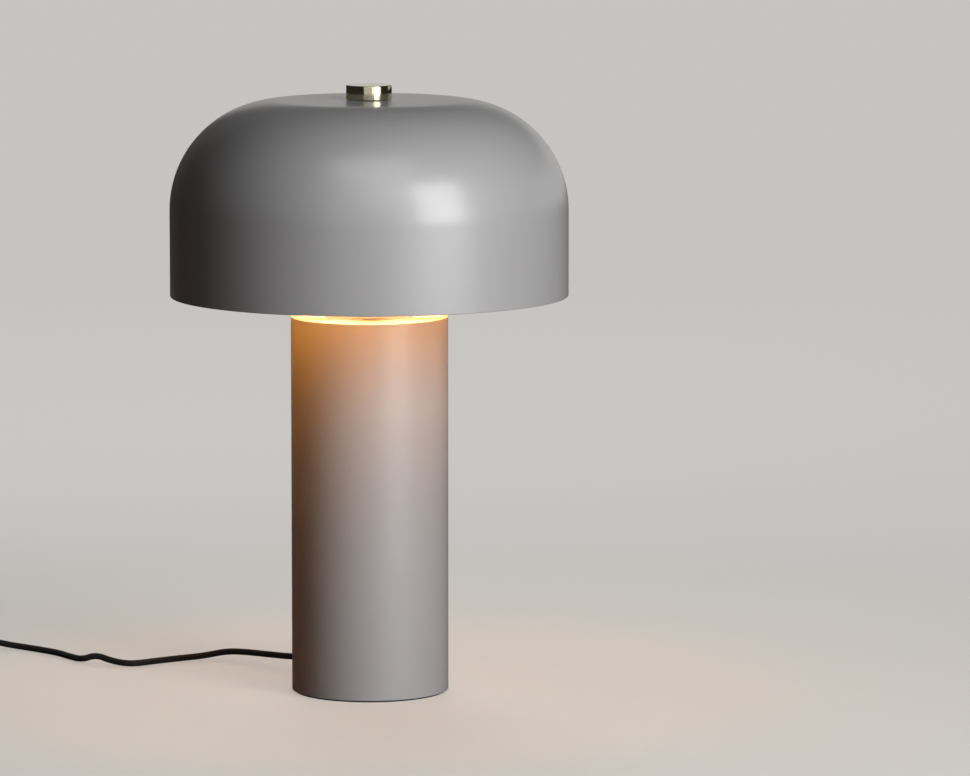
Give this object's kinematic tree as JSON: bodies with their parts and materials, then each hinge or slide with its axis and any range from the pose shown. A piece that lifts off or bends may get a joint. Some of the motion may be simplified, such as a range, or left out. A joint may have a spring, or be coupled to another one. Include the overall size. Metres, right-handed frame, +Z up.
{
  "type": "table lamp",
  "caption": "Table lamp with a tall painted tube base, a flat-topped dome shade held by a brass knob, a screw-cap bulb and a textile lead with switch and plug.",
  "frame": {"origin": "middle of the foot, on the surface that the lamp stands on", "axes": "+Z up along the base tube's axis, -Y towards the front, +X to the right seen from the front"},
  "size_m": [0.6925, 0.4475, 0.5775],
  "materials": {
    "grey_paint": "satin grey powder coat",
    "white_paint": "white powder coat",
    "polished_brass": "turned and polished",
    "zinc_steel": "zinc-plated steel",
    "cast_iron": "raw casting",
    "foot_foam": "black foam rubber",
    "silicone": "translucent silicone",
    "fibre": "vulcanised fibre",
    "holder_plastic": "moulded black thermoset",
    "contact_brass": "stamped sheet",
    "opal_globe": "opal, lit from inside",
    "bulb_plastic": "white moulding",
    "cap_nickel": "drawn and nickelled",
    "black_glass": "fused insulator",
    "textile_lead": "braided black textile",
    "wire_plastic": "insulated wire",
    "lead_plastic": "moulded black plastic",
    "pin_nickel": "nickel-plated pins",
    "tie_strap": "black hook-and-loop strap"
  },
  "bodies": {
    "base": {"base_tube": "grey_paint", "lower_ring": "zinc_steel", "upper_ring": "zinc_steel", "base_weight": "cast_iron", "bottom_cover": "zinc_steel", "foot_pad": "foot_foam", "cover_standoffs": "zinc_steel", "cover_screws": "zinc_steel", "top_plate": "white_paint", "tie_pipe": "zinc_steel", "lower_washer": "zinc_steel", "lower_nut": "zinc_steel", "upper_washer": "zinc_steel", "upper_nut": "zinc_steel", "harp": "zinc_steel", "seat_disc": "zinc_steel", "seat_washer": "silicone", "harp_bolt": "zinc_steel", "holder_cap": "holder_plastic", "holder_core": "holder_plastic", "holder_skirt": "holder_plastic", "centre_contact": "contact_brass", "side_contact": "contact_brass", "terminal_screws": "zinc_steel", "strain_relief": "lead_plastic", "inner_cord": "textile_lead", "core_wires": "wire_plastic", "cord_lead": "textile_lead", "switch_lower_shell": "lead_plastic", "switch_upper_shell": "lead_plastic", "switch_screws": "zinc_steel", "switch_terminals": "contact_brass", "cord_link": "textile_lead", "cord_coil": "textile_lead", "cord_tie": "tie_strap", "cord_tail": "textile_lead", "plug_body": "lead_plastic", "plug_pins": "pin_nickel"},
    "shade": {"shade": "grey_paint"},
    "knob_washer": {"knob_washer": "fibre"},
    "knob": {"knob": "polished_brass"},
    "bulb": {"bulb_tip": "contact_brass", "bulb_insulator": "black_glass", "bulb_cap": "cap_nickel", "bulb_neck": "bulb_plastic", "bulb_glass": "opal_globe"},
    "rocker": {"switch_rocker": "lead_plastic"}
  },
  "joints": [
    {"name": "shade_lift", "type": "slide", "parent": "base", "child": "shade", "axis": [0, 0, 1], "range_m": [0, 0.2]},
    {"name": "knob_turn", "type": "hinge", "parent": "shade", "child": "knob_washer", "pos_m": [0, 0, 0.564], "axis": [0, 0, 1], "range_deg": [0, 1800]},
    {"name": "knob_rise", "type": "slide", "parent": "knob_washer", "child": "knob", "axis": [0, 0, 1], "range_m": [0, 0.0063]},
    {"name": "bulb_turn", "type": "hinge", "parent": "base", "child": "bulb", "pos_m": [0, 0, 0.4], "axis": [0, 0, 1], "range_deg": [0, 1080]},
    {"name": "rocker_tip", "type": "hinge", "parent": "base", "child": "rocker", "pos_m": [-0.428, 0.246, 0.0144], "axis": [0, 1, 0], "range_deg": [-16, 0]}
  ],
  "couplings": [
    {"joint": "knob_rise", "follows": "knob_turn", "m_per_rad": 0.00019894}
  ]
}
